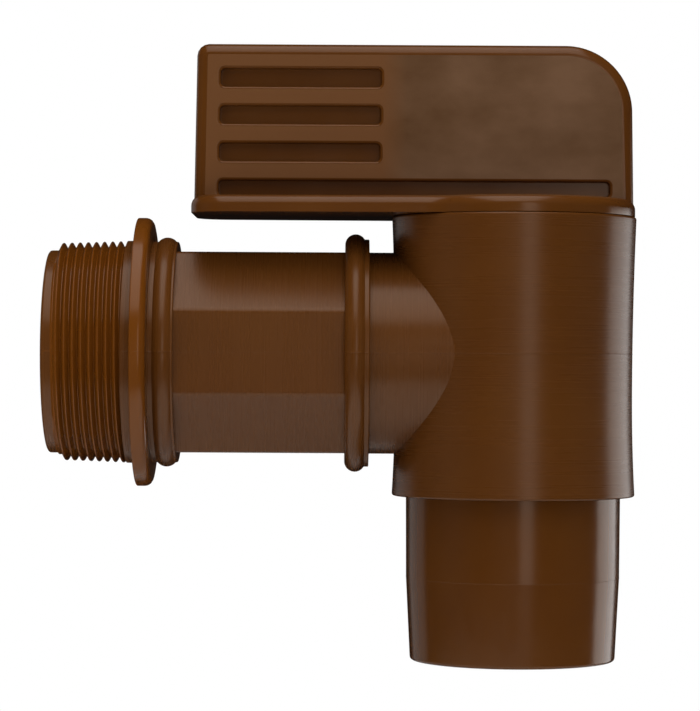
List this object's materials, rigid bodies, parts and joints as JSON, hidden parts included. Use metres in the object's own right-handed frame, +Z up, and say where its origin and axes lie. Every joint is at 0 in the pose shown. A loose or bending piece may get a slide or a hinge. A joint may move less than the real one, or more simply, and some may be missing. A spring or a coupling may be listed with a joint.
{
  "type": "drum tap",
  "caption": "Moulded plastic drum tap with a taper-threaded inlet, flange and spanner neck; a flag handle turns a hollow plug and spout in an upright barrel to open and close it.",
  "frame": {"origin": "on the inlet axis, in the face of the flange that seats against the drum", "axes": "+X along the inlet axis from the drum towards the barrel, +Z up along the barrel towards the handle, -Y towards the viewer of the picture"},
  "size_m": [0.1594, 0.0728, 0.167],
  "materials": {
    "body_plastic": "brown moulded polyethylene, semi-matte",
    "rotor_plastic": "brown moulded polyethylene, semi-matte panel and smooth rounded edges",
    "seal_rubber": "black moulded rubber"
  },
  "bodies": {
    "body": {"body": "body_plastic"},
    "rotor": {"rotor": "rotor_plastic", "upper_seal": "seal_rubber", "lower_seal": "seal_rubber"}
  },
  "joints": [
    {"name": "rotor_turn", "type": "hinge", "parent": "body", "child": "rotor", "pos_m": [0.1022, 0, 0], "axis": [0, 0, 1], "continuous": true}
  ]
}
